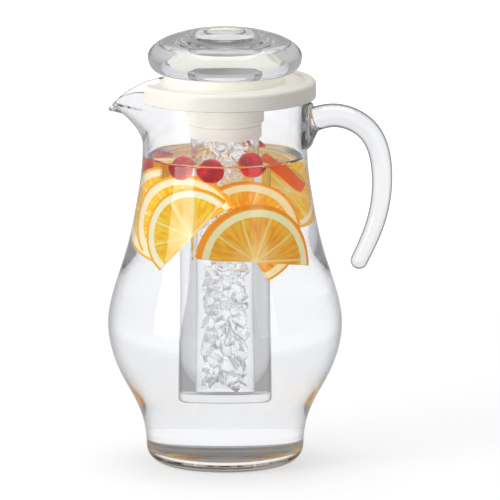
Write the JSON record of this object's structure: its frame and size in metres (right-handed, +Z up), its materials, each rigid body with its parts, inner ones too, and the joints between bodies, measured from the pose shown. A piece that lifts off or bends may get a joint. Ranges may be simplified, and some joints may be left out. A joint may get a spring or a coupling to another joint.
{
  "type": "pitcher with ice core",
  "caption": "Clear bulging pitcher with a drooping spout, an open hook handle, a cream lid, a clear mushroom knob and a screw-in tube that hangs in the drink and holds ice.",
  "frame": {"origin": "middle of the foot on the table, on the axis of the body and the core", "axes": "+X from the axis towards the handle, with the spout at -X; +Y across; +Z up along the axis"},
  "size_m": [0.1951, 0.1592, 0.2955],
  "materials": {
    "clear_jug": "clear, polished",
    "clear_handle": "clear, polished",
    "clear_tube": "clear, polished",
    "clear_knob": "clear, polished",
    "cream_lid": "satin",
    "cream_holder": "satin",
    "cream_collar": "satin",
    "soft_seal": "soft, translucent white"
  },
  "bodies": {
    "jug": {"jug_shell": "clear_jug", "handle": "clear_handle"},
    "lid": {"lid_cover": "cream_lid", "lid_seal": "soft_seal", "core_holder": "cream_holder"},
    "core_ring": {"core_seal": "soft_seal"},
    "ice_core": {"core_collar": "cream_collar", "ice_tube": "clear_tube"},
    "stopper": {"knob": "clear_knob", "knob_seal": "soft_seal"}
  },
  "joints": [
    {"name": "lid_lift", "type": "slide", "parent": "jug", "child": "lid", "axis": [0, 0, 1], "range_m": [0, 0.225]},
    {"name": "knob_lift", "type": "slide", "parent": "lid", "child": "stopper", "axis": [0, 0, 1], "range_m": [0, 0.03]},
    {"name": "core_drop", "type": "slide", "parent": "lid", "child": "core_ring", "axis": [0, 0, -1], "range_m": [0, 0.012]},
    {"name": "core_turn", "type": "hinge", "parent": "core_ring", "child": "ice_core", "pos_m": [0, 0, 0.234], "axis": [0, 0, -1], "range_deg": [0, 720]}
  ],
  "couplings": [
    {"joint": "core_drop", "follows": "core_turn", "m_per_rad": 0.000954}
  ]
}
